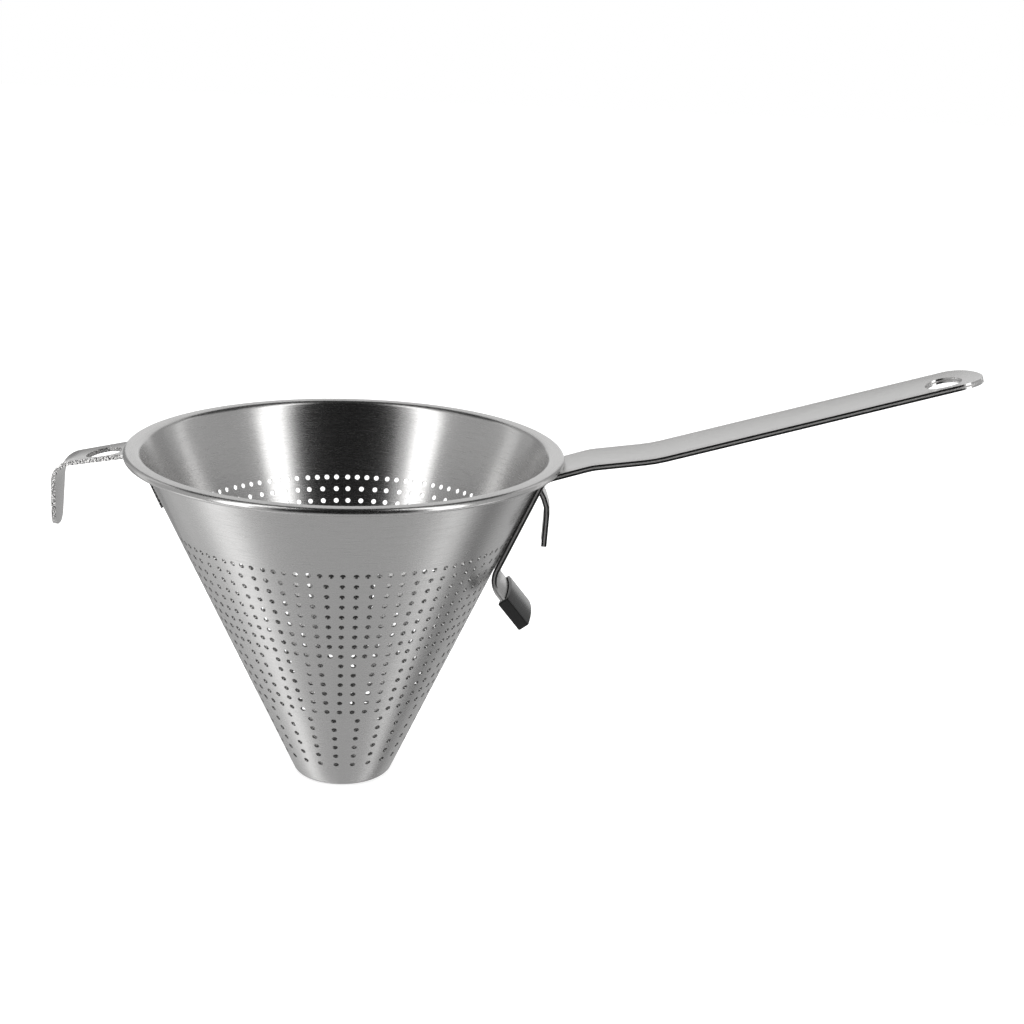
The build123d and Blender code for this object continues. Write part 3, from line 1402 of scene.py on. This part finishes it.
@dataclass(frozen=True)
class Panel:
    """A light panel or a dark card round the set, which only the reflections show."""

    name: str
    azimuth: float
    half_width: float
    low: float
    high: float
    strength: float
    distance: float = 2000.0

    def build(self) -> None:
        """Adds the panel as a patch of a sphere round the object."""
        bm = bmesh.new()
        bmesh.ops.create_grid(bm, x_segments=48, y_segments=24, size=1.0)
        for vert in bm.verts:
            azimuth = math.radians(self.azimuth + self.half_width * vert.co.x)
            height = math.radians(self.low + (self.high - self.low) * (vert.co.y + 1) / 2)
            flat = self.distance * math.cos(height)
            up = self.distance * math.sin(height)
            vert.co = (flat * math.cos(azimuth), flat * math.sin(azimuth), up)
        made = to_object(bm, self.name)
        material = bpy.data.materials.new(self.name)
        maker = node_maker(material)
        glow = maker.add("ShaderNodeEmission", {"Color": WHITE, "Strength": self.strength})
        maker.add("ShaderNodeOutputMaterial", {"Surface": glow.outputs[0]})
        made.data.materials.append(material)
        made.visible_camera = False
        made.visible_diffuse = False
        made.visible_transmission = False
        made.visible_shadow = False
        made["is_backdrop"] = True


PANELS = (
    Panel("surroundings", 0, 180, -90, 90, 0.5, 2400),
    Panel("right_key", -32, 9, -22, 70, 2.4),
    Panel("left_key", -140, 9, -22, 70, 2.4),
    Panel("front_flag", -84, 36, -24, 78, 0.015),
    Panel("zenith_shade", 0, 180, 76, 90, 0.04, 1900),
    Panel("back_shade", 90, 90, 44, 77, 0.05, 1900),
    Panel("back_glow", 90, 24, -10, 44, 0.8),
    Panel("right_streak", 35, 4, -22, 70, 1.0),
    Panel("right_shade", 57, 8, -22, 70, 0.36),
    Panel("left_shade", 124, 9, -22, 70, 0.32),
    Panel("left_streak", 155, 6, -22, 70, 0.85),
    Panel("left_low_glow", 180, 13, -85, -25, 1.4),
    Panel("left_low_fill", 152, 14, -85, -25, 0.68),
    Panel("right_low_glow", 2, 9, -85, -25, 1.2),
    Panel("right_low_shade", 27, 12, -85, -25, 0.22),
)


@dataclass
class Softbox:
    """A plain rectangular studio light, which the reflections don't show."""

    name: str
    place: tuple[float, float, float]
    target: tuple[float, float, float]
    size: tuple[float, float]
    power: float

    def build(self) -> None:
        """Adds the light, aimed at its target."""
        data = bpy.data.lights.new(self.name, "AREA")
        data.shape = "RECTANGLE"
        data.size, data.size_y = self.size
        data.energy = self.power
        made = to_scene(self.name, data)
        aim = Vector(self.target) - Vector(self.place)
        made.rotation_euler = aim.to_track_quat("-Z", "Y").to_euler()
        made.location = self.place
        made.visible_glossy = False


@dataclass
class Studio:
    """The pale floor, the white surroundings, the soft lights and the camera."""

    eye: tuple[float, float, float] = (0.077746, -0.739703, 0.352559)
    focal_pixels: float = 1668.904
    frame_pixels: float = 1024.0
    sensor: float = 36.0
    ambient: float = 0.6
    floor_size: float = 6000.0
    floor_drop: float = 0.3
    floor_tone: float = 0.82
    floor_glow: float = 0.6

    def camera(self) -> None:
        """Adds the camera at the photograph's place and angle."""
        data = bpy.data.cameras.new("camera")
        data.sensor_width = self.sensor
        data.lens = self.focal_pixels * self.sensor / self.frame_pixels
        data.clip_start = 0.01
        data.dof.use_dof = False
        made = to_scene("camera", data)
        right = Vector((0.999107, 0.01306, 0.040194))
        up = Vector((-0.042251, 0.28629, 0.957211))
        back = Vector((0.000995, -0.958054, 0.286586))
        turned = Matrix((right, up, back)).transposed().to_4x4()
        made.matrix_world = Matrix.Translation(Vector(self.eye)) @ turned
        bpy.context.scene.camera = made

    @staticmethod
    def seen_white(maker: NodeMaker) -> bpy.types.NodeSocket:
        """Masks rays from the camera, in reflections and through glass.

        Args:
            maker: The maker of the nodes.

        Returns:
            The mask.
        """
        path = maker.add("ShaderNodeLightPath")
        seen = maker.math("MAXIMUM", path.outputs["Is Camera Ray"], path.outputs["Is Glossy Ray"])
        return maker.math("MAXIMUM", seen, path.outputs["Is Transmission Ray"])

    def world(self) -> None:
        """Adds the white surroundings."""
        world = bpy.data.worlds.new("studio")
        maker = node_maker(world)
        light = maker.add("ShaderNodeBackground", {"Color": WHITE, "Strength": self.ambient})
        white = maker.add("ShaderNodeBackground", {"Color": WHITE})
        mix = {0: self.seen_white(maker), 1: light.outputs[0], 2: white.outputs[0]}
        surface = maker.add("ShaderNodeMixShader", mix).outputs[0]
        maker.add("ShaderNodeOutputWorld", {"Surface": surface})
        bpy.context.scene.world = world

    def floor(self) -> None:
        """Adds the pale floor, which keeps the object's shadow."""
        bm = bmesh.new()
        bmesh.ops.create_grid(bm, x_segments=1, y_segments=1, size=self.floor_size)
        bmesh.ops.translate(bm, vec=(0, 0, -self.floor_drop), verts=bm.verts)
        made = to_object(bm, "floor")
        material = bpy.data.materials.new("pale_floor")
        maker = node_maker(material)
        matt = maker.add("ShaderNodeBsdfDiffuse", {"Color": (*(self.floor_tone,) * 3, 1)})
        strength = maker.math("MULTIPLY", self.seen_white(maker), self.floor_glow)
        glow = maker.add("ShaderNodeEmission", {"Color": WHITE, "Strength": strength})
        total = maker.add("ShaderNodeAddShader", {0: matt.outputs[0], 1: glow.outputs[0]})
        maker.add("ShaderNodeOutputMaterial", {"Surface": total.outputs[0]})
        made.data.materials.append(material)
        made.visible_glossy = False
        made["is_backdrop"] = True

    def lights(self) -> None:
        """Adds the soft lights."""
        target = (0.0, 0.0, 0.1)
        Softbox("left_box", (-1.3, -0.7, 0.9), target, (0.8, 1.2), 9.0).build()
        Softbox("right_box", (1.2, -0.9, 0.8), target, (0.6, 1.2), 8.0).build()
        Softbox("top_box", (0.2, 0.3, 1.6), target, (1.2, 0.8), 8.0).build()

    def build(self) -> None:
        """Builds the whole set."""
        self.camera()
        self.world()
        self.floor()
        self.lights()
        for panel in PANELS:
            panel.build()
        bpy.context.scene.view_settings.view_transform = "Standard"


def write_sizes() -> None:
    """Gathers the box of the solids and the box of the visible pieces as plain lists, which are not
    kept.
    """

    def plain(value: object) -> object:
        """Turns vectors and tuples into lists.

        Args:
            value: A number, a text, or a vector or tuple of them.

        Returns:
            The value as plain lists.
        """
        if isinstance(value, (int, float, str)):
            return value
        return [plain(part) for part in value]

    {"cad": plain(CAD_BOX), "visual": plain(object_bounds())}


def main() -> None:
    """Builds every piece, dresses it and sets the studio."""
    logging.basicConfig(level=logging.INFO, format="%(name)s: %(message)s")
    groups = Groups()
    bowl = Bowl()
    sizes = StrapSizes(bowl)
    handle = Handle.from_bowl(sizes)
    pieces = (
        (bowl, BOWL_STEEL, Slot.BOWL, "strainer_body"),
        (handle, STRAP_STEEL, Slot.STRAP, "handle"),
        (Hook.from_bowl(sizes), HOOK_STEEL, Slot.STRAP, "front_hook"),
        (Cap(handle), CAP_RUBBER, Slot.CAP, "rest_cap"),
    )
    for piece, finish, slot, node in pieces:
        dress(piece.build(), finish.material(groups), node)
    Studio().build()
    write_sizes()


if __name__ == "__main__":
    main()
